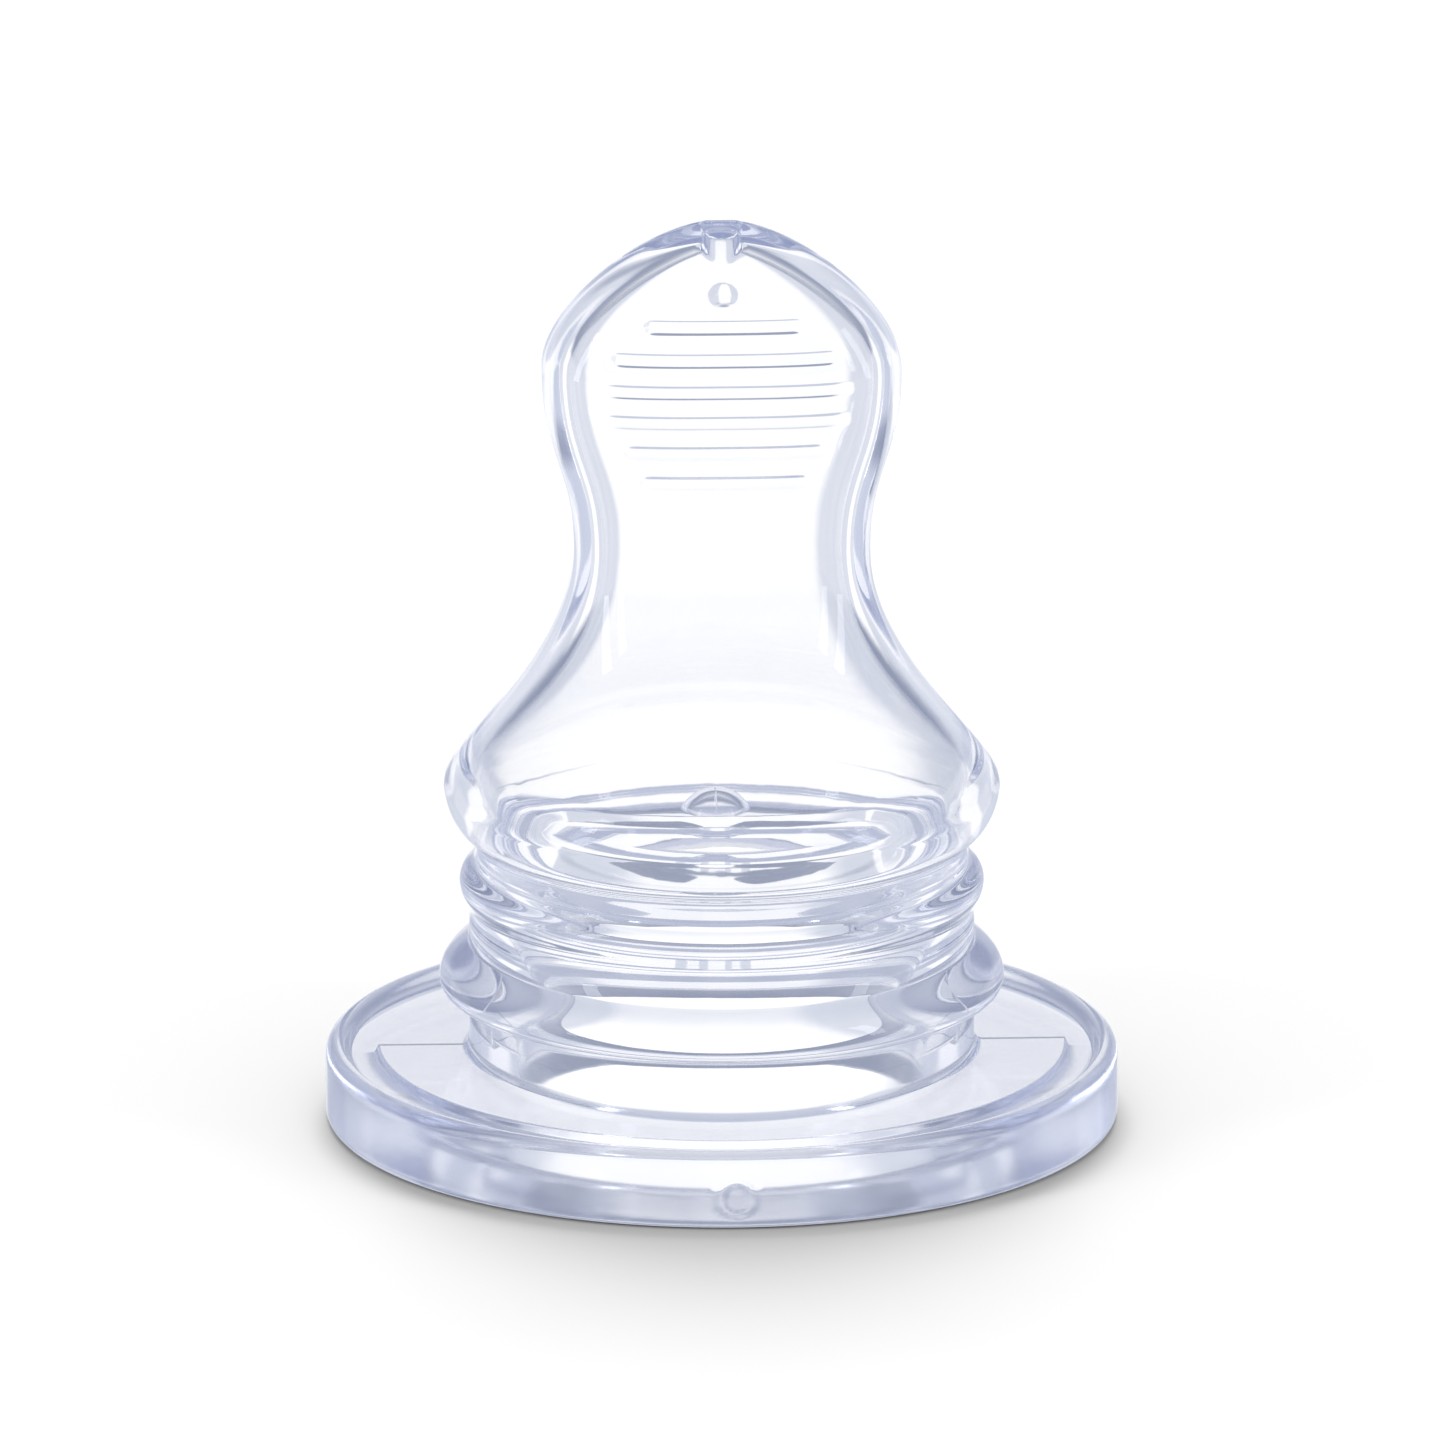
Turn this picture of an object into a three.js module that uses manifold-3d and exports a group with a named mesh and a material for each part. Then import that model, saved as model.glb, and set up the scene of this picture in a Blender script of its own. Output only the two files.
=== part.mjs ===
// Clear silicone teat for a narrow-neck feeding bottle, with a flattened orthodontic bulb.
// Millimetres, +Z up. The origin is the centre of the flange's underside. The ribbed front faces -Y.
// The teat is one moulding: its zones share one outer body and one cavity, and meet face to face.
import * as THREE from "three";
import { mergeVertices } from "three/addons/utils/BufferGeometryUtils.js";
import Module from "manifold-3d";

const wasm = await Module();
wasm.setup();

// Flange: a flat disc with a raised rim, and a raised land on its front half
const FLANGE_RADIUS = 18.75;
const DISC_THICKNESS = 3.2;
const RIM_WIDTH = 1.35;
const RIM_RISE = 0.5;
const RIM_EDGE = 0.5;
const LAND_INSET = 2.4;
const LAND_RISE = 0.4;

// Collar: a thick sleeve with a barbed bead, and a smaller ring at its top
const NECK_RADIUS = 11.95;
const COLLAR_WALL = 2.2;
const GROOVE_HEIGHT = 3.1;
const BEAD_HEIGHT = 2.4;
const BEAD_DEPTH = 1.4;
const COLLAR_HEIGHT = 1.7;
const RING_HEIGHT = 1.9;
const RING_DEPTH = 0.45;

// Undercut and shoulder above the collar, with the ledge inside them
const UNDERCUT_HEIGHT = 1.7;
const UNDERCUT_DEPTH = 0.3;
const LEDGE_WIDTH = 0.85;
const SHOULDER_HEIGHT = 2.4;
const SHOULDER_REACH = 1.2;

// Nipple: skirt, waist, bulb and tip, given by half widths (X) and half depths (Y)
const WALL = 1.3;
const TIP_WALL = 1.4;
const SKIRT_HEIGHT = 11.6;
const WAIST_HALF_WIDTH = 7.0;
const WAIST_HALF_DEPTH = 4.5;
const BULB_HEIGHT = 8.5;
const BULB_HALF_WIDTH = 8.5;
const BULB_HALF_DEPTH = 4.6;
const TIP_HEIGHT = 7.1;
const BULB_LEAN = 0.9;
const SQUARENESS = 2.8;
const BAND_HALF_HEIGHT = 2.7;
const TIP_ZONE_HEIGHT = 2.0;

// Feed hole, ribs and nub
const FEED_HOLE_RADIUS = 0.9;
const FEED_HOLE_FORWARD = 0.3;
const RIB_LENGTHS = [7.3, 10.5, 12.0, 11.5, 9.4, 7.9];
const RIB_PITCH = 1.44;
const RIB_WIDTH = 0.55;
const RIB_RISE = 0.2;
const TOP_RIB_DROP = 4.15;
const NUB_RADIUS = 0.75;
const NUB_RISE = 0.4;
const NUB_DROP = 2.95;

// Anti-colic vent: a domed valve in two lips on a shelf, with an air way down a boss and out through the collar
const SHELF_THICKNESS = 1.4;
const SHELF_REACH = 3.75;
const DOME_RADIUS = 1.7;
const DOME_HEIGHT = 1.2;
const DOME_WALL = 0.45;
const DOME_MARGIN = 0.4;
const SLIT_WIDTH = 0.1;
const VENT_HOLE_RADIUS = 0.6;
const DUCT_RADIUS = 0.4;
const BOSS_WALL = 0.7;

// Heights and radii that follow
const RIM_TOP = DISC_THICKNESS + RIM_RISE;
const RIM_INNER_RADIUS = FLANGE_RADIUS - RIM_WIDTH;
const LAND_RADIUS = FLANGE_RADIUS - LAND_INSET;
const BORE_RADIUS = NECK_RADIUS - COLLAR_WALL;
const BEAD_BOTTOM = DISC_THICKNESS + GROOVE_HEIGHT;
const BEAD_TOP = BEAD_BOTTOM + BEAD_HEIGHT;
const RING_BOTTOM = BEAD_TOP + COLLAR_HEIGHT;
const LEDGE = RING_BOTTOM + RING_HEIGHT;
const LEDGE_RADIUS = BORE_RADIUS + LEDGE_WIDTH;
const UNDERCUT_RADIUS = NECK_RADIUS - UNDERCUT_DEPTH;
const SHOULDER_BOTTOM = LEDGE + UNDERCUT_HEIGHT;
const SHOULDER_MIDDLE = SHOULDER_BOTTOM + SHOULDER_HEIGHT;
const SHOULDER_RADIUS = NECK_RADIUS + SHOULDER_REACH;
const SKIRT_BOTTOM = SHOULDER_MIDDLE + SHOULDER_HEIGHT / 2;
const WAIST = SHOULDER_MIDDLE + SKIRT_HEIGHT;
const BAND_BOTTOM = WAIST - BAND_HALF_HEIGHT;
const BAND_TOP = WAIST + BAND_HALF_HEIGHT;
const BULB_MIDDLE = WAIST + BULB_HEIGHT;
const TOP = BULB_MIDDLE + TIP_HEIGHT;
const TIP_BOTTOM = TOP - TIP_ZONE_HEIGHT;
const SHELF_BOTTOM = LEDGE - SHELF_THICKNESS;
const VENT_Y = BORE_RADIUS - SHELF_REACH + DOME_RADIUS + DOME_MARGIN;
const DUCT_HEIGHT = RING_BOTTOM - COLLAR_HEIGHT / 2;
const BOSS_RADIUS = VENT_HOLE_RADIUS + BOSS_WALL;
const BOSS_BOTTOM = DUCT_HEIGHT - DUCT_RADIUS - BOSS_WALL;

// Sides of a round section, a multiple of four so that it reaches its full radius on X and Y
const SIDES = 36;
const SMALL_SIDES = 16;
// Room for a cutting body to run past what it cuts
const PAST = 1;
const FAR = 4 * FLANGE_RADIUS;

const point = (x, y) => new THREE.Vector2(x, y);

// A closed geometry as a solid for cutting and joining.
function solid(geometry) {
  geometry.deleteAttribute("normal");
  geometry.deleteAttribute("uv");
  const merged = mergeVertices(geometry, 1e-4);
  return new wasm.Manifold(
    new wasm.Mesh({
      numProp: 3,
      vertProperties: merged.attributes.position.array,
      triVerts: new Uint32Array(merged.index.array),
    }),
  );
}

// A profile of (radius, height) points turned about Z.
function turned(profile, sides = SIDES) {
  const geometry = new THREE.LatheGeometry(profile, sides);
  return geometry.rotateX(Math.PI / 2);
}

// How far back the nipple's middle line stands at a height.
function leanAt(z) {
  return BULB_LEAN * THREE.MathUtils.smoothstep(z, WAIST, TOP);
}

// How much a section's corners fill out at a height, from round at the shoulder to squarish above the waist.
function fillAt(x, y, z) {
  const power = 2 + (SQUARENESS - 2) * THREE.MathUtils.smoothstep(z, SHOULDER_MIDDLE, WAIST);
  const radius = Math.hypot(x, y);
  if (power === 2 || radius === 0) {
    return 1;
  }
  return (Math.abs(x / radius) ** power + Math.abs(y / radius) ** power) ** (-1 / power);
}

// A turned profile made oval: each row of points takes its own half depth in place of its half width.
function turnedOval(widths, depths) {
  const geometry = turned(widths);
  const position = geometry.attributes.position;
  for (let i = 0; i < position.count; i++) {
    const row = i % widths.length;
    const flat = widths[row].x > 0 ? depths[row].x / widths[row].x : 1;
    const z = position.getZ(i);
    const fill = fillAt(position.getX(i), position.getY(i), z);
    position.setX(i, position.getX(i) * fill);
    position.setY(i, position.getY(i) * fill * flat + leanAt(z));
  }
  return geometry;
}

function curvePoints(start, handle1, handle2, end, steps) {
  const curve = new THREE.CubicBezierCurve(start, handle1, handle2, end);
  return curve.getPoints(steps).slice(1);
}

// The nipple's contour from the shoulder's widest point to the top, as (half width, height) points.
function nippleContour(shoulder, waist, bulb, top) {
  const tip = top - BULB_MIDDLE;
  return [
    ...curvePoints(
      point(shoulder, SHOULDER_MIDDLE),
      point(shoulder, SHOULDER_MIDDLE + 0.12 * SKIRT_HEIGHT),
      point(waist, WAIST - 0.5 * SKIRT_HEIGHT),
      point(waist, WAIST),
      9,
    ),
    ...curvePoints(
      point(waist, WAIST),
      point(waist, WAIST + 0.46 * BULB_HEIGHT),
      point(bulb, BULB_MIDDLE - 0.46 * BULB_HEIGHT),
      point(bulb, BULB_MIDDLE),
      6,
    ),
    ...curvePoints(
      point(bulb, BULB_MIDDLE),
      point(bulb, BULB_MIDDLE + 0.4 * tip),
      point(0.376 * bulb, top),
      point(0, top),
      8,
    ),
  ];
}

// The outside of the teat above the collar, grown by an amount.
function outerContour(waist, bulb, grown) {
  const underside = curvePoints(
    point(UNDERCUT_RADIUS + grown, SHOULDER_BOTTOM),
    point(NECK_RADIUS + 0.3 * SHOULDER_REACH + grown, SHOULDER_BOTTOM),
    point(SHOULDER_RADIUS + grown, SHOULDER_MIDDLE - 0.5 * SHOULDER_HEIGHT),
    point(SHOULDER_RADIUS + grown, SHOULDER_MIDDLE),
    4,
  );
  return [
    point(0, LEDGE),
    point(NECK_RADIUS + grown, LEDGE),
    point(UNDERCUT_RADIUS + grown, LEDGE + UNDERCUT_HEIGHT / 2),
    point(UNDERCUT_RADIUS + grown, SHOULDER_BOTTOM),
    ...underside,
    ...nippleContour(SHOULDER_RADIUS + grown, waist + grown, bulb + grown, TOP + grown),
  ];
}

// The inside: a straight bore up to the ledge, a chamber under the shoulder, then the nipple's hollow.
function cavityContour(waist, bulb) {
  const shoulder = SHOULDER_RADIUS - WALL;
  return [
    point(0, -PAST),
    point(BORE_RADIUS, -PAST),
    point(BORE_RADIUS, LEDGE),
    point(LEDGE_RADIUS, LEDGE),
    ...curvePoints(
      point(LEDGE_RADIUS, LEDGE),
      point(LEDGE_RADIUS, SHOULDER_BOTTOM),
      point(shoulder, SHOULDER_BOTTOM),
      point(shoulder, SHOULDER_MIDDLE),
      4,
    ),
    ...nippleContour(shoulder, waist - WALL, bulb - WALL, TOP - TIP_WALL),
  ];
}

const OUTER_DEPTHS = outerContour(WAIST_HALF_DEPTH, BULB_HALF_DEPTH, 0);

function outerBody(grown) {
  const widths = outerContour(WAIST_HALF_WIDTH, BULB_HALF_WIDTH, grown);
  const depths = outerContour(WAIST_HALF_DEPTH, BULB_HALF_DEPTH, grown);
  return solid(turnedOval(widths, depths));
}

function cavityBody() {
  const widths = cavityContour(WAIST_HALF_WIDTH, BULB_HALF_WIDTH);
  const depths = cavityContour(WAIST_HALF_DEPTH, BULB_HALF_DEPTH);
  return solid(turnedOval(widths, depths));
}

// Where the nipple's front surface lies at a height, on the middle plane.
function frontAt(z) {
  const above = OUTER_DEPTHS.findIndex((p, i) => i > 0 && p.y >= z && p.y > LEDGE);
  const upper = OUTER_DEPTHS[above];
  const lower = OUTER_DEPTHS[above - 1];
  const share = (z - lower.y) / (upper.y - lower.y);
  return leanAt(z) - THREE.MathUtils.lerp(lower.x, upper.x, share);
}

// A block from one height to another, wider than the teat unless its near Y and half width are given.
function block(bottom, top, nearY = -FAR, halfWidth = FAR) {
  const geometry = new THREE.BoxGeometry(2 * halfWidth, FAR - nearY, top - bottom);
  geometry.translate(0, (nearY + FAR) / 2, (bottom + top) / 2);
  return solid(geometry);
}

// An upright round rod.
function rod(radius, y, bottom, top) {
  const geometry = new THREE.CylinderGeometry(radius, radius, top - bottom, SMALL_SIDES);
  geometry.rotateX(Math.PI / 2);
  geometry.translate(0, y, (bottom + top) / 2);
  return solid(geometry);
}

// A tube about Z between two radii and two heights.
function tube(inner, outer, bottom, top) {
  return turned([
    point(inner, bottom),
    point(outer, bottom),
    point(outer, top),
    point(inner, top),
    point(inner, bottom),
  ]);
}

function flangeRim() {
  const crown = FLANGE_RADIUS - RIM_WIDTH / 2;
  return turned([
    point(RIM_INNER_RADIUS, 0),
    point(FLANGE_RADIUS - RIM_EDGE, 0),
    point(FLANGE_RADIUS - 0.3 * RIM_EDGE, 0.3 * RIM_EDGE),
    point(FLANGE_RADIUS, RIM_EDGE),
    point(FLANGE_RADIUS, RIM_TOP - RIM_WIDTH / 2),
    ...curvePoints(
      point(FLANGE_RADIUS, RIM_TOP - RIM_WIDTH / 2),
      point(FLANGE_RADIUS, RIM_TOP - 0.2 * RIM_WIDTH),
      point(crown + 0.3 * RIM_WIDTH, RIM_TOP),
      point(crown, RIM_TOP),
      3,
    ),
    ...curvePoints(
      point(crown, RIM_TOP),
      point(crown - 0.25 * RIM_WIDTH, RIM_TOP),
      point(crown - 0.25 * RIM_WIDTH, DISC_THICKNESS),
      point(RIM_INNER_RADIUS, DISC_THICKNESS),
      3,
    ),
    point(RIM_INNER_RADIUS, 0),
  ]);
}

// Half a ring, from the parting line forward, laid on the disc.
function flangeLand() {
  const outline = new THREE.Shape();
  outline.absarc(0, 0, LAND_RADIUS, Math.PI, 2 * Math.PI, false);
  outline.absarc(0, 0, NECK_RADIUS, 2 * Math.PI, Math.PI, true);
  outline.closePath();
  const geometry = new THREE.ExtrudeGeometry(outline, {
    depth: LAND_RISE,
    bevelEnabled: false,
    curveSegments: SIDES / 2,
  });
  return geometry.translate(0, 0, DISC_THICKNESS);
}

// The bead slopes gently above, so that it pushes through the screw ring, and steeply below, so that it holds.
function retainingBead() {
  return turned([
    point(NECK_RADIUS, BEAD_BOTTOM),
    ...curvePoints(
      point(NECK_RADIUS, BEAD_BOTTOM),
      point(NECK_RADIUS + 0.9 * BEAD_DEPTH, BEAD_BOTTOM),
      point(NECK_RADIUS + BEAD_DEPTH, BEAD_BOTTOM + 0.1 * BEAD_HEIGHT),
      point(NECK_RADIUS + BEAD_DEPTH, BEAD_BOTTOM + 0.3 * BEAD_HEIGHT),
      4,
    ),
    ...curvePoints(
      point(NECK_RADIUS + BEAD_DEPTH, BEAD_BOTTOM + 0.3 * BEAD_HEIGHT),
      point(NECK_RADIUS + BEAD_DEPTH, BEAD_BOTTOM + 0.65 * BEAD_HEIGHT),
      point(NECK_RADIUS + 0.4 * BEAD_DEPTH, BEAD_TOP - 0.1 * BEAD_HEIGHT),
      point(NECK_RADIUS, BEAD_TOP),
      4,
    ),
    point(NECK_RADIUS, BEAD_BOTTOM),
  ]);
}

function collarRing() {
  return turned([
    point(NECK_RADIUS, RING_BOTTOM),
    point(NECK_RADIUS + 0.7 * RING_DEPTH, RING_BOTTOM + 0.3 * RING_HEIGHT),
    point(NECK_RADIUS + RING_DEPTH, RING_BOTTOM + 0.55 * RING_HEIGHT),
    point(NECK_RADIUS + RING_DEPTH, RING_BOTTOM + 0.8 * RING_HEIGHT),
    point(NECK_RADIUS, LEDGE),
    point(NECK_RADIUS, RING_BOTTOM),
  ]);
}

// A bar across the front, with round ends, to be kept only where it meets the thin skin that ribs rise in.
function ribBar(length, z) {
  const half = (length - RIB_WIDTH) / 2;
  const outline = new THREE.Shape();
  outline.absarc(half, 0, RIB_WIDTH / 2, -Math.PI / 2, Math.PI / 2, false);
  outline.absarc(-half, 0, RIB_WIDTH / 2, Math.PI / 2, 1.5 * Math.PI, false);
  outline.closePath();
  const geometry = new THREE.ExtrudeGeometry(outline, {
    depth: FAR,
    bevelEnabled: false,
    curveSegments: 4,
  });
  geometry.rotateX(Math.PI / 2);
  geometry.translate(0, leanAt(z), z);
  return solid(geometry);
}

// The vent's air way: down from under the valve, and back through the collar to the open air.
function airWay() {
  const geometry = new THREE.CylinderGeometry(DUCT_RADIUS, DUCT_RADIUS, NECK_RADIUS, SMALL_SIDES);
  geometry.translate(0, VENT_Y + NECK_RADIUS / 2, DUCT_HEIGHT);
  return rod(VENT_HOLE_RADIUS, VENT_Y, DUCT_HEIGHT - DUCT_RADIUS, LEDGE + PAST).add(solid(geometry));
}

// A shelf across the back of the bore, level with the ledge, that the valve stands on.
function ventShelf(cavity, way) {
  return block(SHELF_BOTTOM, LEDGE, BORE_RADIUS - SHELF_REACH).intersect(cavity).subtract(way);
}

// A round-fronted boss under the shelf, against the back of the bore, that the air way runs down in.
function ductBoss(cavity, way) {
  const front = rod(BOSS_RADIUS, VENT_Y, BOSS_BOTTOM, SHELF_BOTTOM);
  const back = block(BOSS_BOTTOM, SHELF_BOTTOM, VENT_Y, BOSS_RADIUS);
  return front.add(back).intersect(cavity).subtract(way);
}

// The cap of a sphere with this base radius and height, from its flat base up.
function capProfile(radius, height) {
  const sphere = (radius * radius + height * height) / (2 * height);
  const start = Math.asin(radius / sphere);
  const rows = 5;
  const arc = [];
  for (let i = 0; i <= rows; i++) {
    const angle = start * (1 - i / rows);
    arc.push(point(sphere * Math.sin(angle), sphere * Math.cos(angle) - sphere + height));
  }
  arc[rows].x = 0;
  return [point(0, 0), ...arc];
}

// One half of the domed valve. side is -1 for the left lip, 1 for the right.
function ventLip(side) {
  const outside = solid(turned(capProfile(DOME_RADIUS, DOME_HEIGHT), 2 * SMALL_SIDES));
  const hollow = capProfile(DOME_RADIUS - DOME_WALL, DOME_HEIGHT - DOME_WALL);
  const inside = solid(turned(hollow, 2 * SMALL_SIDES));
  const half = new THREE.BoxGeometry(FAR, FAR, FAR);
  half.translate((side * (FAR + SLIT_WIDTH)) / 2, 0, 0);
  return outside.subtract(inside).intersect(solid(half)).translate([0, VENT_Y, LEDGE]);
}

// Materials: one clear, faintly lavender silicone, a little deeper where the moulding is thick
const CLEAR = "#dfe3ef";
const THICK = "#c8cee0";

function silicone(colour) {
  return new THREE.MeshStandardMaterial({
    color: colour,
    roughness: 0.12,
    metalness: 0,
    transparent: true,
    opacity: 0.5,
  });
}

// The assembly
const teat = new THREE.Group();
teat.name = "teat";

function add(name, shape, colour) {
  let geometry = shape;
  if (!shape.isBufferGeometry) {
    const mesh = shape.getMesh();
    geometry = new THREE.BufferGeometry();
    geometry.setAttribute("position", new THREE.BufferAttribute(mesh.vertProperties, 3));
    geometry.setIndex(new THREE.BufferAttribute(mesh.triVerts, 1));
    geometry.computeVertexNormals();
  }
  const mesh = new THREE.Mesh(geometry, silicone(colour));
  mesh.name = name;
  teat.add(mesh);
}

const outer = outerBody(0);
const cavity = cavityBody();
const way = airWay();
const feedHole = rod(FEED_HOLE_RADIUS, BULB_LEAN - FEED_HOLE_FORWARD, BULB_MIDDLE, TOP + PAST);
const shell = outer.subtract(cavity).subtract(feedHole);
const ribSkin = outerBody(RIB_RISE).subtract(outer);

add("flange_disc", tube(BORE_RADIUS, RIM_INNER_RADIUS, 0, DISC_THICKNESS), THICK);
add("flange_rim", flangeRim(), THICK);
add("flange_land", flangeLand(), CLEAR);
add("neck_sleeve", solid(tube(BORE_RADIUS, NECK_RADIUS, DISC_THICKNESS, LEDGE)).subtract(way), THICK);
add("retaining_bead", retainingBead(), THICK);
add("collar_ring", collarRing(), THICK);

const zones = [
  ["undercut_web", LEDGE, SHOULDER_BOTTOM, THICK],
  ["shoulder_bulge", SHOULDER_BOTTOM, SKIRT_BOTTOM, THICK],
  ["skirt_cone", SKIRT_BOTTOM, BAND_BOTTOM, CLEAR],
  ["waist_band", BAND_BOTTOM, BAND_TOP, CLEAR],
  ["bulb_shell", BAND_TOP, TIP_BOTTOM, CLEAR],
  ["feed_tip", TIP_BOTTOM, TOP + PAST, CLEAR],
];
for (const [name, bottom, top, colour] of zones) {
  add(name, shell.intersect(block(bottom, top)), colour);
}

RIB_LENGTHS.forEach((length, i) => {
  const bar = ribBar(length, TOP - TOP_RIB_DROP - i * RIB_PITCH);
  add(`grip_rib_${i + 1}`, ribSkin.intersect(bar), CLEAR);
});

const nubHeight = TOP - NUB_DROP;
const nubBall = new THREE.SphereGeometry(NUB_RADIUS, SMALL_SIDES, SMALL_SIDES / 2);
nubBall.translate(0, frontAt(nubHeight) - NUB_RISE + NUB_RADIUS, nubHeight);
add("tip_nub", solid(nubBall).subtract(outer), CLEAR);

add("vent_shelf", ventShelf(cavity, way), THICK);
add("duct_boss", ductBoss(cavity, way), THICK);
add("vent_lip_left", ventLip(-1), CLEAR);
add("vent_lip_right", ventLip(1), CLEAR);

export default teat;
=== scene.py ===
import math

import bmesh
import bpy
import numpy as np
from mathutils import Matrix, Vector


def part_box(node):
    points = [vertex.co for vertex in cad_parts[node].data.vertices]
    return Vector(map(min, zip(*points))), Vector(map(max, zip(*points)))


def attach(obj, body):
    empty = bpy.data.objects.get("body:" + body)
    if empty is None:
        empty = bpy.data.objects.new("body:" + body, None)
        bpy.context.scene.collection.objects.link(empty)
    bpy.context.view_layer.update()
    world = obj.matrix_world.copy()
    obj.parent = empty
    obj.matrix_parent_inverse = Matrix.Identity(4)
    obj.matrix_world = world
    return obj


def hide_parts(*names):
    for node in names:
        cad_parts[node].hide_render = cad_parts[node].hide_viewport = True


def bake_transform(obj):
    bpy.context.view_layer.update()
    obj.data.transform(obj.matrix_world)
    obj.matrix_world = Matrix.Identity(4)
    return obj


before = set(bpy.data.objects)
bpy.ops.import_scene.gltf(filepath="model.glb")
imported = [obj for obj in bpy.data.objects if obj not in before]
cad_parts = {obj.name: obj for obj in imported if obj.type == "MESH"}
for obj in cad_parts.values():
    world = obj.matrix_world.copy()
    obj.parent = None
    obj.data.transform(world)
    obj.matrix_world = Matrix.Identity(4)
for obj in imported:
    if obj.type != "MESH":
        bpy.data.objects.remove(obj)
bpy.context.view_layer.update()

MM = 0.001

# Sizes of the CAD part
rim_low, rim_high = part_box("flange_rim")
disc_low, disc_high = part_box("flange_disc")
land_low, land_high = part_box("flange_land")
neck_low, neck_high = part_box("neck_sleeve")
bead_low, bead_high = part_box("retaining_bead")
ring_low, ring_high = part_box("collar_ring")
web_low, web_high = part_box("undercut_web")
shoulder_low, shoulder_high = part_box("shoulder_bulge")
band_low, band_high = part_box("waist_band")
bulb_low, bulb_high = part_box("bulb_shell")
tip_low, tip_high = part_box("feed_tip")
nub_low, nub_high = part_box("tip_nub")
shelf_low, shelf_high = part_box("vent_shelf")
lip_low, lip_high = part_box("vent_lip_left")
boss_low, boss_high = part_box("duct_boss")
FLANGE_RADIUS = rim_high.x
RIM_TOP = rim_high.z
RIM_INNER = disc_high.x
DISC_TOP = disc_high.z
LAND_RADIUS = land_high.x
LAND_RISE = land_high.z - land_low.z
NECK_RADIUS = neck_high.x
LEDGE = neck_high.z
BEAD_RADIUS, BEAD_BOTTOM, BEAD_TOP = bead_high.x, bead_low.z, bead_high.z
RING_RADIUS, RING_BOTTOM = ring_high.x, ring_low.z
SHOULDER_BOTTOM = web_high.z
SHOULDER_RADIUS = shoulder_high.x
SHOULDER_MIDDLE = SHOULDER_BOTTOM + (shoulder_high.z - SHOULDER_BOTTOM) / 1.5
WAIST = (band_low.z + band_high.z) / 2
BULB_HALF_WIDTH = bulb_high.x
BORE_RADIUS = shelf_high.y
SHELF_FRONT = shelf_low.y
SHELF_THICKNESS = shelf_high.z - shelf_low.z
DOME_RADIUS = (lip_high.y - lip_low.y) / 2
DOME_HEIGHT = lip_high.z - lip_low.z
VENT_Y = (lip_high.y + lip_low.y) / 2

# Sizes that no box states. SLIT and SEAT only hold the lips clear of each other and of the shelf.
RIM_EDGE = 0.5 * MM
UNDERCUT_RADIUS = NECK_RADIUS - 0.3 * MM
LEDGE_RADIUS = BORE_RADIUS + 0.85 * MM
WALL = 1.3 * MM
TIP_WALL = 1.4 * MM
WAIST_HALF_WIDTH = 7.0 * MM
WAIST_HALF_DEPTH = 4.5 * MM
BULB_HALF_DEPTH = 4.6 * MM
SKIRT_HEIGHT = WAIST - SHOULDER_MIDDLE
BULB_HEIGHT = 8.5 * MM
BULB_MIDDLE = WAIST + BULB_HEIGHT
TOP = BULB_MIDDLE + 7.1 * MM
BULB_LEAN = 0.9 * MM
SQUARENESS = 2.8
HOLE_RADIUS = 0.9 * MM
HOLE_Y = BULB_LEAN - 0.3 * MM
RIB_WIDTH = 0.55 * MM
RIB_RISE = 0.2 * MM
RIB_SOFT = 0.07 * MM
NUB_RADIUS = 0.75 * MM
NUB_RISE = 0.4 * MM
DOME_WALL = 0.45 * MM
SLIT = 0.03 * MM
SEAT = LEDGE + 0.01 * MM
ROOT_RADIUS = 0.4 * MM
PIN_RADIUS = 0.78 * MM
PIN_HEIGHT = 1.5 * MM
PIN_DEPTH = 0.14 * MM
PIN_LINE = 0.13 * MM
# Where the ribs' relief fades out, towards the corners of the bulb's section
RIB_FADE_START = 4.9 * MM
RIB_FADE_END = 5.9 * MM
RIB_FADE = 0.85
RIBS = []
for i in range(1, 7):
    low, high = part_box(f"grip_rib_{i}")
    RIBS.append((high.x, (low.z + high.z) / 2))


def bezier(p0, p1, p2, p3, steps):
    t = np.linspace(0, 1, steps + 1)[:, None]
    p0, p1, p2, p3 = (np.array(p, float) for p in (p0, p1, p2, p3))
    return (1 - t) ** 3 * p0 + 3 * (1 - t) ** 2 * t * p1 + 3 * (1 - t) * t * t * p2 + t**3 * p3


def smooth(x, low, high):
    t = np.clip((x - low) / (high - low), 0, 1)
    return t * t * (3 - 2 * t)


# Columns of the skin: closer together at the front, where the fine detail is.
# The last four stand close to the land's straight edge, so that it stays sharp.
t = np.arange(-120, 120) * 1.5
columns = -90 + t * (1 - 0.7 * np.exp(-((t / 20) ** 2)))
columns = np.sort(np.concatenate([columns, [-180.4, -179.6, -0.4, 0.4]]))
phi = np.radians(columns)
cos, sin = np.cos(phi), np.sin(phi)
land = np.where(sin < 0, LAND_RISE, 0.0)


def turned(profile, share=0.0):
    """Rows turned about Z from (radius, height) points. share of the land's rise is added at the front."""
    return [np.stack([r * cos, r * sin, z + share * land], 1) for r, z in profile]


def nipple_contour(shoulder, waist, bulb, top):
    """Half width against height from the shoulder's widest point to the top."""
    tip = top - BULB_MIDDLE
    parts = [
        bezier((shoulder, SHOULDER_MIDDLE), (shoulder, SHOULDER_MIDDLE + 0.12 * SKIRT_HEIGHT),
               (waist, WAIST - 0.5 * SKIRT_HEIGHT), (waist, WAIST), 200),
        bezier((waist, WAIST), (waist, WAIST + 0.46 * BULB_HEIGHT),
               (bulb, BULB_MIDDLE - 0.46 * BULB_HEIGHT), (bulb, BULB_MIDDLE), 200)[1:],
        bezier((bulb, BULB_MIDDLE), (bulb, BULB_MIDDLE + 0.4 * tip),
               (0.376 * bulb, top), (0, top), 600)[1:],
    ]
    return np.vstack(parts)


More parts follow.
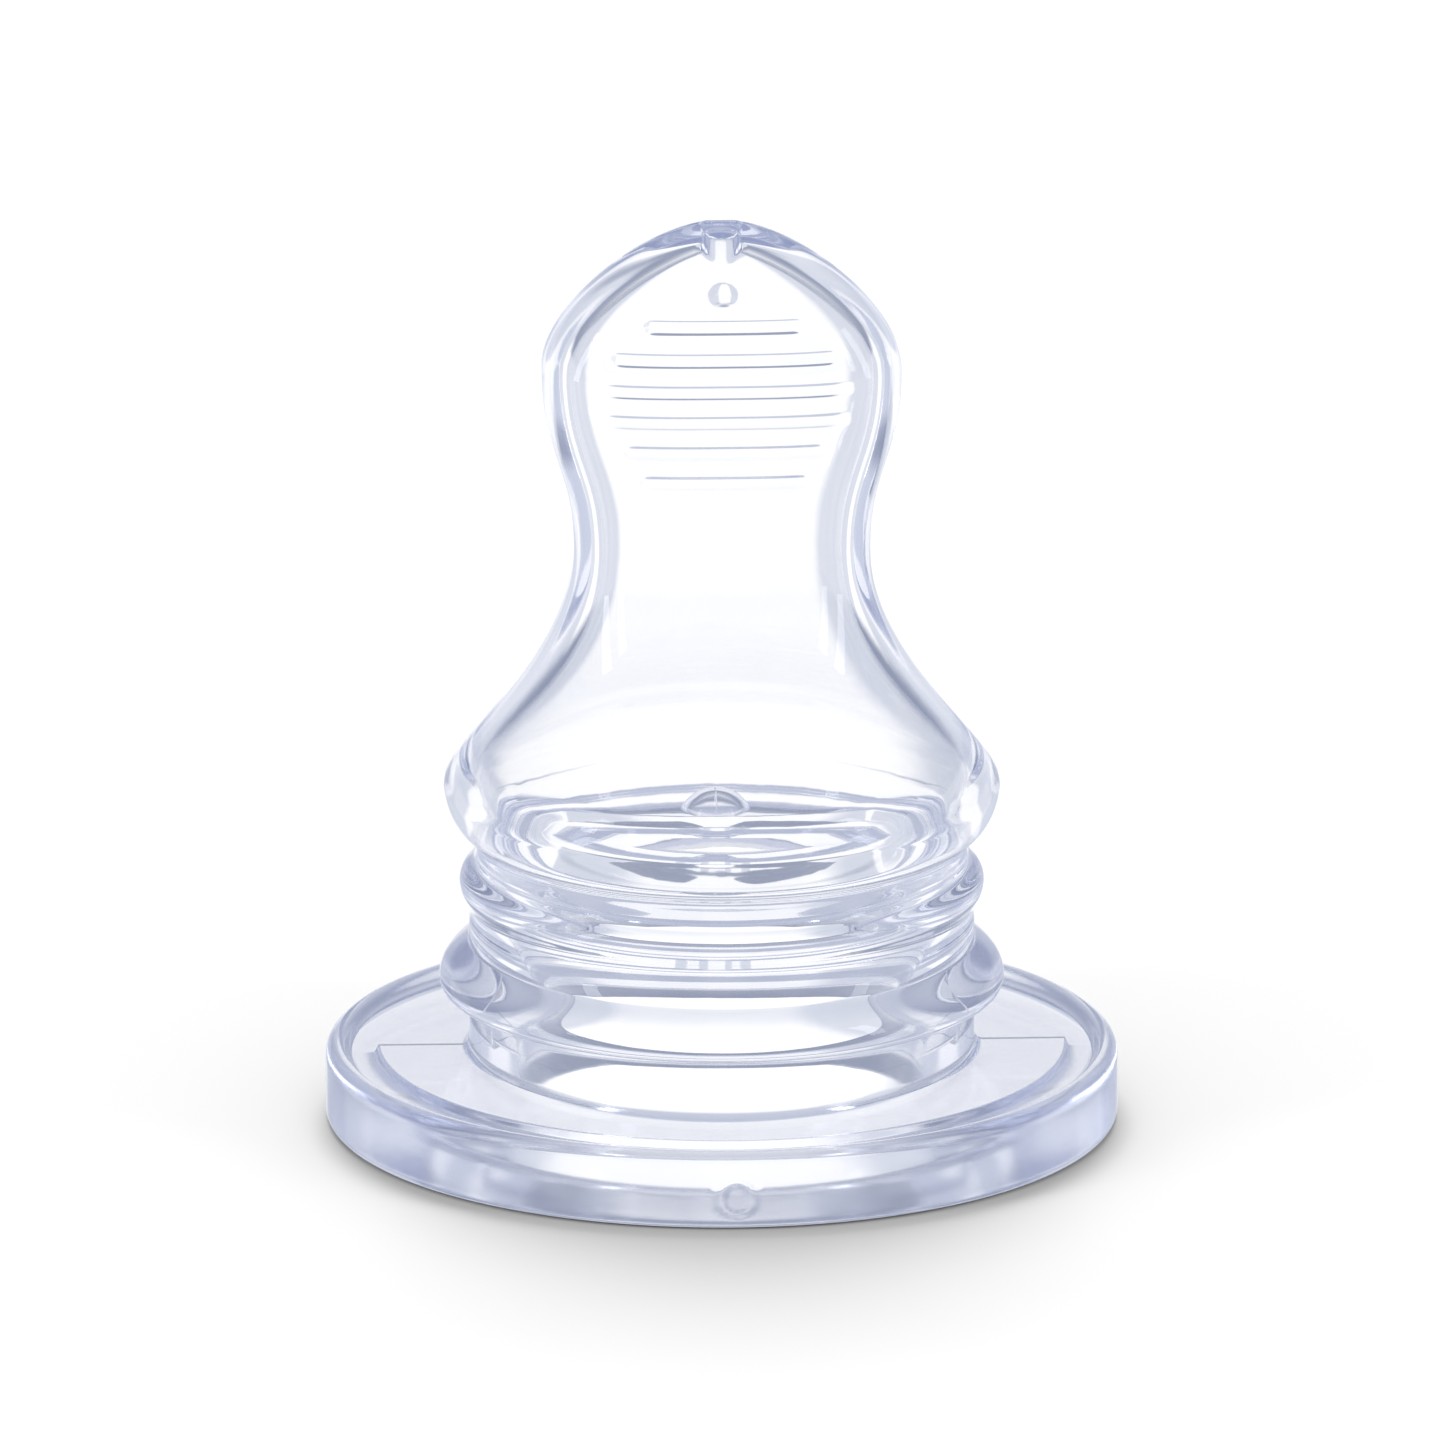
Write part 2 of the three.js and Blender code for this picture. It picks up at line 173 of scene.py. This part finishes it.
class Nipple:
    """The nipple's outside or inside: ovals with a half width, a half depth and a middle per height."""

    def __init__(self, inset, top):
        shoulder = SHOULDER_RADIUS - inset
        self.width = nipple_contour(shoulder, WAIST_HALF_WIDTH - inset, BULB_HALF_WIDTH - inset, top)
        self.depth = nipple_contour(shoulder, WAIST_HALF_DEPTH - inset, BULB_HALF_DEPTH - inset, top)
        self.top = top

    def at(self, z):
        a = np.interp(z, self.width[:, 1], self.width[:, 0])
        b = np.interp(z, self.depth[:, 1], self.depth[:, 0])
        return a, b, BULB_LEAN * smooth(z, WAIST, TOP)

    def power(self, z):
        return 2 + (SQUARENESS - 2) * smooth(z, SHOULDER_MIDDLE, WAIST)

    def oval(self, z):
        """X and Y of the section at a height, with its corners filled out above the shoulder."""
        a, b, middle = self.at(z)
        n = self.power(z)
        fill = (np.abs(cos) ** n + np.abs(sin) ** n) ** (-1 / n)
        return a * cos * fill, middle + b * sin * fill

    def row(self, z):
        x, y = self.oval(z)
        return np.stack([x, y, np.full_like(cos, z)], 1)

    def outside(self, x, y, z):
        """Above 1 where a point is outside the section at its height, and below 1 inside."""
        a, b, middle = self.at(z)
        n = self.power(z)
        a, b = np.maximum(a, 1e-9), np.maximum(b, 1e-9)
        return np.minimum(np.abs(x) / a, 1e3) ** n + np.minimum(np.abs(y - middle) / b, 1e3) ** n

    def height(self, x, y, low):
        """The height of the dome's surface over a point, above a height where the point is inside."""
        below, above = np.full_like(x, low), np.full_like(x, self.top)
        for _ in range(40):
            z = (below + above) / 2
            outside = self.outside(x, y, z) > 1
            above = np.where(outside, z, above)
            below = np.where(outside, below, z)
        return (below + above) / 2

    def dome(self, start, shares):
        """Rows from the oval at a height to the rim of the feed hole."""
        oval_x, oval_y = self.oval(start)
        rows = []
        for s in shares:
            x = (1 - s) * oval_x + s * HOLE_RADIUS * cos
            y = (1 - s) * oval_y + s * (HOLE_Y + HOLE_RADIUS * sin)
            rows.append(np.stack([x, y, self.height(x, y, start)], 1))
        return rows


outer = Nipple(0, TOP)
inner = Nipple(WALL, TOP - TIP_WALL)

crown = FLANGE_RADIUS - (FLANGE_RADIUS - RIM_INNER) / 2
half_rim = FLANGE_RADIUS - crown
rows = []
# Under the flange, its lower edge, the rim's wall and its crown
rows += turned([(r, 0) for r in np.linspace(BORE_RADIUS + 0.3 * MM, FLANGE_RADIUS - RIM_EDGE, 8)])
angles = np.radians(np.linspace(0, 90, 8)[1:])
rows += turned([
    (FLANGE_RADIUS - RIM_EDGE + RIM_EDGE * math.sin(a), RIM_EDGE - RIM_EDGE * math.cos(a)) for a in angles
])
rows += turned([(FLANGE_RADIUS, z) for z in np.linspace(RIM_EDGE, RIM_TOP - half_rim, 19)[1:]])
rows += turned(bezier((FLANGE_RADIUS, RIM_TOP - half_rim), (FLANGE_RADIUS, RIM_TOP - 0.4 * half_rim),
                      (crown + 0.6 * half_rim, RIM_TOP), (crown, RIM_TOP), 8)[1:])
rows += turned(bezier((crown, RIM_TOP), (crown - 0.5 * half_rim, RIM_TOP),
                      (crown - 0.5 * half_rim, DISC_TOP), (RIM_INNER, DISC_TOP), 8)[1:])
# The recess, the land's step and the land
rows += turned([(LAND_RADIUS + 0.12 * MM, DISC_TOP)])
for s in (0.2, 0.4, 0.6, 0.8, 1.0):
    rows += turned([(LAND_RADIUS + (0.12 - 0.24 * s) * MM, DISC_TOP)], float(smooth(s, 0, 1)))
rows += turned([(r, DISC_TOP) for r in np.linspace(LAND_RADIUS - 0.2 * MM, NECK_RADIUS + ROOT_RADIUS, 5)], 1)
# The neck's root, the neck and the bead
angles = np.radians(np.linspace(0, 90, 6)[1:])
rows += turned([
    (NECK_RADIUS + ROOT_RADIUS * (1 - math.sin(a)), DISC_TOP + ROOT_RADIUS * (1 - math.cos(a)))
    for a in angles
], 1)
rows += turned([(NECK_RADIUS, BEAD_BOTTOM - 0.6 * MM), (NECK_RADIUS, BEAD_BOTTOM - 0.1 * MM)])
bead_height = BEAD_TOP - BEAD_BOTTOM
bead_depth = BEAD_RADIUS - NECK_RADIUS
rows += turned(bezier((NECK_RADIUS + 0.05 * MM, BEAD_BOTTOM), (NECK_RADIUS + 0.9 * bead_depth, BEAD_BOTTOM),
                      (BEAD_RADIUS, BEAD_BOTTOM + 0.1 * bead_height),
                      (BEAD_RADIUS, BEAD_BOTTOM + 0.3 * bead_height), 12))
rows += turned(bezier((BEAD_RADIUS, BEAD_BOTTOM + 0.3 * bead_height),
                      (BEAD_RADIUS, BEAD_BOTTOM + 0.65 * bead_height),
                      (NECK_RADIUS + 0.3 * bead_depth, BEAD_TOP - 0.1 * bead_height),
                      (NECK_RADIUS, BEAD_TOP + 0.15 * MM), 12)[1:])
# The collar and its ring
ring_height = LEDGE - RING_BOTTOM
rows += turned(bezier((NECK_RADIUS, RING_BOTTOM), (NECK_RADIUS + 0.1 * MM, RING_BOTTOM + 0.3 * ring_height),
                      (RING_RADIUS, RING_BOTTOM + 0.35 * ring_height),
                      (RING_RADIUS, RING_BOTTOM + 0.65 * ring_height), 8))
rows += turned(bezier((RING_RADIUS, RING_BOTTOM + 0.65 * ring_height),
                      (RING_RADIUS, LEDGE - 0.1 * ring_height),
                      (NECK_RADIUS + 0.1 * MM, LEDGE),
                      (UNDERCUT_RADIUS + 0.1 * MM, LEDGE + 0.25 * MM), 8)[1:])
# The undercut and the shoulder's underside
rows += turned(bezier((UNDERCUT_RADIUS, LEDGE + 0.5 * MM),
                      (UNDERCUT_RADIUS - 0.05 * MM, SHOULDER_BOTTOM - 0.3 * MM),
                      (UNDERCUT_RADIUS, SHOULDER_BOTTOM - 0.2 * MM),
                      (UNDERCUT_RADIUS + 0.3 * MM, SHOULDER_BOTTOM + 0.1 * MM), 6))
rows += turned(bezier((UNDERCUT_RADIUS + 0.3 * MM, SHOULDER_BOTTOM + 0.1 * MM),
                      (SHOULDER_RADIUS - 0.5 * MM, SHOULDER_BOTTOM + 0.4 * MM),
                      (SHOULDER_RADIUS, SHOULDER_MIDDLE - 0.9 * MM),
                      (SHOULDER_RADIUS, SHOULDER_MIDDLE), 10)[1:])
# The skirt, the waist and the bulb, with rows close together at the ribs
dome_start = TOP - 3.7 * MM
heights = list(np.arange(SHOULDER_MIDDLE + 0.4 * MM, RIBS[-1][1] - 0.6 * MM, 0.45 * MM))
offsets = [-0.42, -0.345, -0.31, -0.275, -0.24, -0.205, -0.1, 0, 0.1, 0.205, 0.24, 0.275, 0.31, 0.345, 0.42]
for reach, z in RIBS:
    heights += [z + o * MM for o in offsets]
between = [(RIBS[i][1] + RIBS[i + 1][1]) / 2 for i in range(5)]
heights = sorted(h for h in heights + between if h < dome_start - 0.05 * MM)
rows += [outer.row(z) for z in heights]
# The dome up to the feed hole, the hole, and the dome's inside
rows += outer.dome(dome_start, np.linspace(0, 0.985, 40))
edge = outer.dome(dome_start, [1.0])[0]
bottom = inner.dome(dome_start - TIP_WALL, [1.0])[0]
for drop in (0.06, 0.2, 0.5, 0.8, 0.94):
    rows.append(edge * (1 - drop) + bottom * drop)
rows += inner.dome(dome_start - TIP_WALL, np.linspace(0.98, 0, 22))
heights = np.arange(dome_start - TIP_WALL - 0.4 * MM, SHOULDER_MIDDLE + 0.3 * MM, -0.55 * MM)
rows += [inner.row(z) for z in heights]
# The chamber under the shoulder, down to the ledge
chamber = bezier((LEDGE_RADIUS, LEDGE), (LEDGE_RADIUS, SHOULDER_BOTTOM),
                 (SHOULDER_RADIUS - WALL, SHOULDER_BOTTOM), (SHOULDER_RADIUS - WALL, SHOULDER_MIDDLE), 10)
rows += turned(chamber[::-1][:-1])
# The ledge, and the vent shelf where the bore is cut off by a straight edge
reach = np.where(sin > 0.01, np.minimum(BORE_RADIUS, SHELF_FRONT / np.maximum(sin, 0.01)), BORE_RADIUS)
for s in (0.03, 0.5):
    r = LEDGE_RADIUS + (reach - LEDGE_RADIUS) * s
    rows.append(np.stack([r * cos, r * sin, np.full_like(cos, LEDGE)], 1))
for inset, drop in ((-0.15, 0.0), (-0.05, 0.04), (0.0, 0.15), (0.0, 0.6), (0.0, 1.2), (-0.02, 1.36)):
    r = reach - inset * MM
    rows.append(np.stack([r * cos, r * sin, np.full_like(cos, LEDGE - drop * MM)], 1))
# The bore's wall, which stands in at the back as the boss that the air way runs down in
boss_half, boss_front = boss_high.x, boss_low.y
slant = np.abs(cos) / np.maximum(sin, 1e-3)
x_on = np.minimum(slant * boss_front, boss_half)
boss_edge = boss_front + boss_half - np.sqrt(np.maximum(boss_half**2 - x_on**2, 0))
boss_share = smooth(np.abs(cos) * BORE_RADIUS, boss_half * 1.35, boss_half * 0.55) * (sin > 0)
boss_reach = np.minimum(boss_edge / np.maximum(sin, 0.1), BORE_RADIUS)
boss_bore = BORE_RADIUS + (boss_reach - BORE_RADIUS) * boss_share
for s in (0.3, 0.7, 1.0):
    r = reach + (boss_bore - reach) * s
    rows.append(np.stack([r * cos, r * sin, np.full_like(cos, LEDGE - SHELF_THICKNESS - 0.05 * s * MM)], 1))
for z in np.linspace(LEDGE - SHELF_THICKNESS - 0.3 * MM, boss_low.z + 0.25 * MM, 6):
    rows.append(np.stack([boss_bore * cos, boss_bore * sin, np.full_like(cos, z)], 1))
for s, drop in ((0.08, 0.08), (0.4, 0.02), (0.8, -0.01), (1.0, -0.04)):
    r = boss_bore + (BORE_RADIUS - boss_bore) * s
    rows.append(np.stack([r * cos, r * sin, np.full_like(cos, boss_low.z + drop * MM)], 1))
rows += turned([(BORE_RADIUS, z) for z in np.linspace(boss_low.z - 0.5 * MM, 0.3 * MM, 7)])
rows += turned([(BORE_RADIUS + 0.09 * MM, 0.09 * MM)])

grid = np.array(rows)

# Fine relief along the surface's normals: ribs, nub and the moulding's pin mark
along = np.roll(grid, -1, 0) - np.roll(grid, 1, 0)
across = np.roll(grid, -1, 1) - np.roll(grid, 1, 1)
normal = np.cross(across, along)
normal /= np.linalg.norm(normal, axis=2, keepdims=True) + 1e-12
x, y, z = grid[..., 0], grid[..., 1], grid[..., 2]
middle = outer.at(z)[2]
on_outside = (np.abs(outer.outside(x, y, z) - 1) < 0.02) & (z > WAIST) & (y < middle)
relief = np.zeros_like(z)
for i, (reach_x, height) in enumerate(RIBS):
    half = reach_x - RIB_WIDTH / 2
    soft = np.where(z < height, RIB_SOFT * (1 + 0.5 * i), RIB_SOFT)
    away = np.hypot(np.maximum(np.abs(x) - half, 0), z - height) - RIB_WIDTH / 2
    fading = 1 - RIB_FADE * smooth(np.abs(x), RIB_FADE_START, RIB_FADE_END)
    relief = np.maximum(relief, RIB_RISE * fading * (1 - smooth(away, -soft, soft)) * on_outside)
foot_height = (nub_low.z + nub_high.z) / 2
foot_a, foot_b, foot_middle = outer.at(foot_height)
foot = np.array([0, foot_middle - foot_b, foot_height])
away = np.linalg.norm(grid - foot, axis=2)
foot_radius = math.sqrt(NUB_RADIUS**2 - (NUB_RADIUS - NUB_RISE) ** 2)
cap = NUB_RISE * (1 - (away / foot_radius) ** 3)
relief = np.maximum(relief, np.maximum(cap, 0) * on_outside)
on_rim = (np.hypot(x, y) > FLANGE_RADIUS - 0.01 * MM) & (y < 0)
away = np.hypot(x, z - PIN_HEIGHT)
relief -= PIN_DEPTH * np.exp(-(((away - PIN_RADIUS) / PIN_LINE) ** 2)) * on_rim
outward = 1.0 if (normal[20, 0] * grid[20, 0]).sum() > 0 else -1.0
grid = grid + outward * normal * relief[..., None]

count_rows, count_columns = grid.shape[:2]
r0 = np.arange(count_rows)[:, None] * count_columns
r1 = ((np.arange(count_rows) + 1) % count_rows)[:, None] * count_columns
c0 = np.arange(count_columns)[None, :]
c1 = ((np.arange(count_columns) + 1) % count_columns)[None, :]
quads = np.stack([r0 + c0, r0 + c1, r1 + c1, r1 + c0], 2).reshape(-1, 4)
points = grid.reshape(-1, 3)
p = points[quads]
volume = (np.cross(p[:, 0], p[:, 1]) * p[:, 2]).sum() + (np.cross(p[:, 0], p[:, 2]) * p[:, 3]).sum()
if volume < 0:
    quads = quads[:, ::-1]


def mesh_object(name, points, faces):
    mesh = bpy.data.meshes.new(name)
    mesh.from_pydata(points.tolist(), [], faces)
    mesh.update()
    mesh.shade_smooth()
    obj = bpy.data.objects.new(name, mesh)
    bpy.context.scene.collection.objects.link(obj)
    return obj


skin = mesh_object("teat_skin", points, quads.tolist())


def lip(name, side):
    """Half of the domed valve: a thin shell over the vent, cut at the slit."""
    profile = []
    for inset, rising in ((0, True), (DOME_WALL, False)):
        radius, height = DOME_RADIUS - inset, DOME_HEIGHT - inset
        sphere = (radius**2 + height**2) / (2 * height)
        start = math.asin(radius / sphere)
        arc = []
        for i in range(15):
            a = start * (1 - i / 14)
            arc.append((sphere * math.sin(a), sphere * math.cos(a) - sphere + height))
        profile += arc if rising else arc[::-1]
    bm = bmesh.new()
    rings = []
    for radius, height in profile:
        if radius < 1e-9:
            rings.append([bm.verts.new((0, VENT_Y, SEAT + height))])
        else:
            turns = [k * math.pi / 32 for k in range(64)]
            rings.append([
                bm.verts.new((radius * math.cos(a), VENT_Y + radius * math.sin(a), SEAT + height))
                for a in turns
            ])
    loop = list(zip(rings, rings[1:])) + [(rings[-1], rings[0])]
    for one, two in loop:
        if len(one) == 1 and len(two) == 1:
            continue
        for k in range(64):
            m = (k + 1) % 64
            if len(two) == 1:
                bm.faces.new((one[k], one[m], two[0]))
            elif len(one) == 1:
                bm.faces.new((one[0], two[m], two[k]))
            else:
                bm.faces.new((one[k], one[m], two[m], two[k]))
    bmesh.ops.bisect_plane(
        bm,
        geom=bm.verts[:] + bm.edges[:] + bm.faces[:],
        plane_co=(side * SLIT / 2, 0, 0),
        plane_no=(-side, 0, 0),
        clear_outer=True,
    )
    edges = [e for e in bm.edges if e.is_boundary]
    bmesh.ops.edgeloop_fill(bm, edges=edges)
    bmesh.ops.recalc_face_normals(bm, faces=bm.faces[:])
    mesh = bpy.data.meshes.new(name)
    bm.to_mesh(mesh)
    bm.free()
    mesh.shade_smooth()
    mesh.set_sharp_from_angle(angle=math.radians(40))
    obj = bpy.data.objects.new(name, mesh)
    bpy.context.scene.collection.objects.link(obj)
    return obj


lip_left = lip("vent_valve_left", -1)
lip_right = lip("vent_valve_right", 1)


# Clear silicone
REFRACTION = 1.41
NOISE_SCALE = 260.0
# Painted edge shade: the silicone's base colour goes from white to a greyish blue where the surface turns
# edge-on, which draws dark outlines
EDGE_PAINTED_SHADE = (0.32, 0.36, 0.5, 1)
NEAR_EDGE_PAINTED_SHADE = (0.9, 0.915, 0.96, 1)
SHADOW_TINT = (0.25, 0.25, 0.26, 1)
DEEP_TINT = (0.95, 0.955, 0.975, 1)
DEEP_BOUNCES = 4.5
BODY_TINT = (0.5, 0.56, 0.76, 1)
BODY_DENSITY = 25.0


def silicone_material():
    material = bpy.data.materials.new("clear_silicone")
    material.use_nodes = True
    tree = material.node_tree
    nodes, links = tree.nodes, tree.links
    shader = nodes["Principled BSDF"]
    output = nodes["Material Output"]
    shader.inputs["Transmission Weight"].default_value = 1.0
    shader.inputs["IOR"].default_value = REFRACTION
    coordinates = nodes.new("ShaderNodeTexCoord")
    noise = nodes.new("ShaderNodeTexNoise")
    noise.inputs["Scale"].default_value = NOISE_SCALE
    noise.inputs["Detail"].default_value = 3.0
    links.new(coordinates.outputs["Object"], noise.inputs["Vector"])
    rough = nodes.new("ShaderNodeMapRange")
    rough.inputs["To Min"].default_value = 0.01
    rough.inputs["To Max"].default_value = 0.05
    links.new(noise.outputs["Fac"], rough.inputs["Value"])
    parts = nodes.new("ShaderNodeSeparateXYZ")
    links.new(coordinates.outputs["Object"], parts.inputs[0])
    flange = nodes.new("ShaderNodeMapRange")
    flange.inputs["From Min"].default_value = DISC_TOP
    flange.inputs["From Max"].default_value = RIM_TOP + 1.0 * MM
    flange.inputs["To Min"].default_value = 0.1
    flange.inputs["To Max"].default_value = 0.0
    links.new(parts.outputs["Z"], flange.inputs["Value"])
    total = nodes.new("ShaderNodeMath")
    total.operation = "ADD"
    links.new(rough.outputs["Result"], total.inputs[0])
    links.new(flange.outputs["Result"], total.inputs[1])
    links.new(total.outputs[0], shader.inputs["Roughness"])
    bump = nodes.new("ShaderNodeBump")
    bump.inputs["Strength"].default_value = 0.06
    bump.inputs["Distance"].default_value = 0.0002
    links.new(noise.outputs["Fac"], bump.inputs["Height"])
    links.new(bump.outputs["Normal"], shader.inputs["Normal"])
    # Painted edge shade: a Layer Weight ramp darkens the base colour as the surface turns edge-on to the
    # ray, multiplied by a faint noise mottle
    facing = nodes.new("ShaderNodeLayerWeight")
    facing.inputs["Blend"].default_value = 0.5
    ramp = nodes.new("ShaderNodeValToRGB")
    ramp.color_ramp.elements[0].position = 0.45
    ramp.color_ramp.elements[0].color = (1.0, 1.0, 1.0, 1)
    ramp.color_ramp.elements[1].position = 1.0
    ramp.color_ramp.elements[1].color = EDGE_PAINTED_SHADE
    middle_stop = ramp.color_ramp.elements.new(0.8)
    middle_stop.color = NEAR_EDGE_PAINTED_SHADE
    links.new(facing.outputs["Facing"], ramp.inputs["Fac"])
    edge_shade_and_mottle = nodes.new("ShaderNodeMix")
    edge_shade_and_mottle.data_type = "RGBA"
    edge_shade_and_mottle.blend_type = "MULTIPLY"
    edge_shade_and_mottle.inputs["Factor"].default_value = 0.06
    links.new(ramp.outputs["Color"], edge_shade_and_mottle.inputs["A"])
    links.new(noise.outputs["Fac"], edge_shade_and_mottle.inputs["B"])
    links.new(edge_shade_and_mottle.outputs["Result"], shader.inputs["Base Color"])
    clear = nodes.new("ShaderNodeBsdfTransparent")
    clear.inputs["Color"].default_value = SHADOW_TINT
    # Shadow and diffuse rays pass with a tint, and rays past the deepest bounce pass straight through
    path = nodes.new("ShaderNodeLightPath")
    either = nodes.new("ShaderNodeMath")
    either.operation = "MAXIMUM"
    links.new(path.outputs["Is Shadow Ray"], either.inputs[0])
    links.new(path.outputs["Is Diffuse Ray"], either.inputs[1])
    deep = nodes.new("ShaderNodeMath")
    deep.operation = "GREATER_THAN"
    deep.inputs[1].default_value = DEEP_BOUNCES
    links.new(path.outputs["Ray Depth"], deep.inputs[0])
    passing = nodes.new("ShaderNodeBsdfTransparent")
    passing.inputs["Color"].default_value = DEEP_TINT
    first = nodes.new("ShaderNodeMixShader")
    links.new(deep.outputs[0], first.inputs["Fac"])
    links.new(shader.outputs["BSDF"], first.inputs[1])
    links.new(passing.outputs["BSDF"], first.inputs[2])
    mix = nodes.new("ShaderNodeMixShader")
    links.new(either.outputs[0], mix.inputs["Fac"])
    links.new(first.outputs["Shader"], mix.inputs[1])
    links.new(clear.outputs["BSDF"], mix.inputs[2])
    links.new(mix.outputs["Shader"], output.inputs["Surface"])
    absorption = nodes.new("ShaderNodeVolumeAbsorption")
    absorption.inputs["Color"].default_value = BODY_TINT
    absorption.inputs["Density"].default_value = BODY_DENSITY
    links.new(absorption.outputs["Volume"], output.inputs["Volume"])
    return material


silicone = silicone_material()
for piece in (skin, lip_left, lip_right):
    piece.data.materials.append(silicone)

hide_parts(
    "flange_disc", "flange_rim", "flange_land", "neck_sleeve", "retaining_bead", "collar_ring",
    "undercut_web", "shoulder_bulge", "skirt_cone", "waist_band", "bulb_shell", "feed_tip",
    "grip_rib_1", "grip_rib_2", "grip_rib_3", "grip_rib_4", "grip_rib_5", "grip_rib_6", "tip_nub",
    "vent_shelf", "duct_boss",
)
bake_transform(skin)
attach(lip_left, "vent_left")
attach(lip_right, "vent_right")
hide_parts("vent_lip_left")
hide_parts("vent_lip_right")

# Floor
FLOOR_HALF = 3.0
FLOOR_DROP = 0.03 * MM
corners = np.array([[-1, -1], [1, -1], [1, 1], [-1, 1]]) * FLOOR_HALF
floor = mesh_object("floor", np.column_stack([corners, np.full(4, -FLOOR_DROP)]), [(0, 1, 2, 3)])
paper = bpy.data.materials.new("pale_floor")
paper.use_nodes = True
paper_shader = paper.node_tree.nodes["Principled BSDF"]
paper_shader.inputs["Base Color"].default_value = (0.93, 0.93, 0.93, 1)
paper_shader.inputs["Roughness"].default_value = 1.0
paper_shader.inputs["Specular IOR Level"].default_value = 0.0
floor.data.materials.append(paper)
floor.visible_transmission = False
floor.visible_glossy = False

# World: white to the eye, even light on the floor, and eight brighter lobes round the sides that the
# silicone bends. Between the lobes it is greyer, which draws the outlines.
BETWEEN_LOBES = (0.78, 0.81, 0.9)
LOBE = (1.16, 1.16, 1.17)
LOBE_COUNT = 8.0
LOW_SKY = (0.31, 0.35, 0.47)
HIGH_SKY = (0.95, 0.96, 1.0)
STEEP_DOWN = (0.62, 0.66, 0.78)
FLOOR_LIGHT = (0.62, 0.62, 0.62)
world = bpy.data.worlds.new("studio")
bpy.context.scene.world = world
world.use_nodes = True
world.cycles.sampling_method = "NONE"
tree = world.node_tree
nodes, links = tree.nodes, tree.links
background = nodes["Background"]
coordinates = nodes.new("ShaderNodeTexCoord")
split = nodes.new("ShaderNodeSeparateXYZ")
links.new(coordinates.outputs["Generated"], split.inputs[0])


def math_node(operation, *values):
    node = nodes.new("ShaderNodeMath")
    node.operation = operation
    for socket, value in zip(node.inputs, values):
        if isinstance(value, (int, float)):
            socket.default_value = value
        else:
            links.new(value, socket)
    return node.outputs[0]


def map_range(value, low, high, to_low, to_high):
    node = nodes.new("ShaderNodeMapRange")
    node.interpolation_type = "SMOOTHSTEP"
    links.new(value, node.inputs["Value"])
    for name, number in (("From Min", low), ("From Max", high), ("To Min", to_low), ("To Max", to_high)):
        node.inputs[name].default_value = number
    return node.outputs["Result"]


def mix_colour(factor, one, two):
    node = nodes.new("ShaderNodeMix")
    node.data_type = "RGBA"
    links.new(factor, node.inputs["Factor"])
    for socket, value in ((node.inputs["A"], one), (node.inputs["B"], two)):
        if isinstance(value, tuple):
            socket.default_value = (*value, 1)
        else:
            links.new(value, socket)
    return node.outputs["Result"]


azimuth = math_node("ARCTAN2", split.outputs["Y"], split.outputs["X"])
lobe = map_range(math_node("COSINE", math_node("MULTIPLY", azimuth, LOBE_COUNT)), -0.1, 0.5, 0.0, 1.0)
sides = mix_colour(lobe, BETWEEN_LOBES, LOBE)
above = map_range(split.outputs["Z"], 0.02, 0.16, 0.0, 1.0)
sky = mix_colour(map_range(split.outputs["Z"], 0.2, 0.95, 0.0, 1.0), LOW_SKY, HIGH_SKY)
seen = mix_colour(above, sides, sky)
steep = map_range(split.outputs["Z"], -0.75, -0.55, 1.0, 0.0)
seen = mix_colour(steep, seen, STEEP_DOWN)
path = nodes.new("ShaderNodeLightPath")
final = mix_colour(path.outputs["Is Diffuse Ray"], seen, FLOOR_LIGHT)
final = mix_colour(path.outputs["Is Camera Ray"], final, (1.0, 1.0, 1.0))
links.new(final, background.inputs["Color"])

# Lamps
def area(name, position, target, size, power):
    data = bpy.data.lights.new(name, "AREA")
    data.shape = "RECTANGLE"
    data.size, data.size_y = size
    data.energy = power
    lamp = bpy.data.objects.new(name, data)
    bpy.context.scene.collection.objects.link(lamp)
    lamp.location = position
    lamp.rotation_euler = (Vector(target) - Vector(position)).to_track_quat("-Z", "Y").to_euler()
    return lamp


def sun(name, position, spread, strength):
    data = bpy.data.lights.new(name, "SUN")
    data.angle = math.radians(spread)
    data.energy = strength
    lamp = bpy.data.objects.new(name, data)
    bpy.context.scene.collection.objects.link(lamp)
    lamp.location = position
    lamp.rotation_euler = Vector(position).to_track_quat("Z", "Y").to_euler()
    lamp.visible_glossy = False
    lamp.visible_transmission = False
    return lamp


centre = Vector((0, 0, TOP / 2))
sun("high_sun", (0, 0.34, 0.5), 30, 1.3)
sun("low_sun", (0, 0.5, 0.33), 50, 0.6)
area("left_strip", (-0.5, -0.25, 0.25), centre, (0.08, 0.4), 0.5)
area("right_strip", (0.5, -0.25, 0.25), centre, (0.08, 0.4), 0.4)

# Camera at the photo's viewing angle
DISTANCE = 1.5
FRAME_WIDTH = 0.0682
elevation, turn = math.radians(16.3), math.radians(-2.2)
target = Vector((0.00004, 0, 0.01927))
camera_data = bpy.data.cameras.new("camera")
camera_data.sensor_width = 36
camera_data.lens = 36 * DISTANCE / FRAME_WIDTH
camera = bpy.data.objects.new("camera", camera_data)
bpy.context.scene.collection.objects.link(camera)
camera.location = target + DISTANCE * Vector(
    (math.sin(turn) * math.cos(elevation), -math.cos(turn) * math.cos(elevation), math.sin(elevation))
)
camera.rotation_euler = (target - camera.location).to_track_quat("-Z", "Y").to_euler()
bpy.context.scene.camera = camera

bpy.context.scene.view_settings.view_transform = "Standard"
